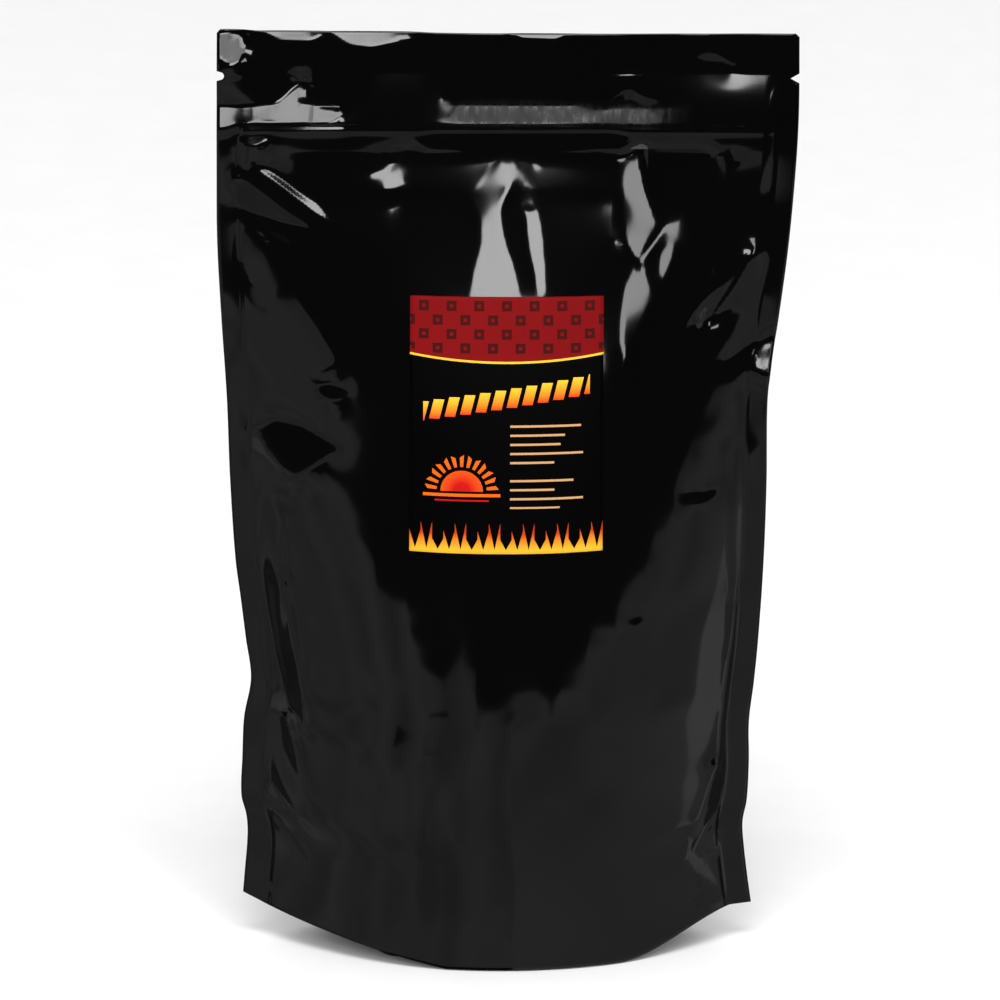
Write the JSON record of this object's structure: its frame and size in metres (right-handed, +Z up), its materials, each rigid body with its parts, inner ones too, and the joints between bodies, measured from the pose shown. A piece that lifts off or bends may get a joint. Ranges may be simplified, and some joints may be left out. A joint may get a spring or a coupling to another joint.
{
  "type": "stand-up zip pouch filled with dried chilli peppers",
  "caption": "Filled black foil stand-up pouch with a gusset base, a press-to-close zip under a sealed top with tear notches, and a rectangular front label.",
  "frame": {"origin": "middle of the base, on the surface that the pouch stands on", "axes": "+Z up, -Y out of the labelled front, +X to the right as the front is seen"},
  "size_m": [0.2291, 0.09, 0.375],
  "materials": {
    "film": "gloss",
    "zip": "satin",
    "label": "satin",
    "pods": "satin"
  },
  "bodies": {
    "root": {"front_panel": "film", "back_panel": "film", "gusset": "film", "zip_channel": "zip", "zip_rib": "zip", "label": "label", "dried_pods": "pods"}
  },
  "joints": []
}
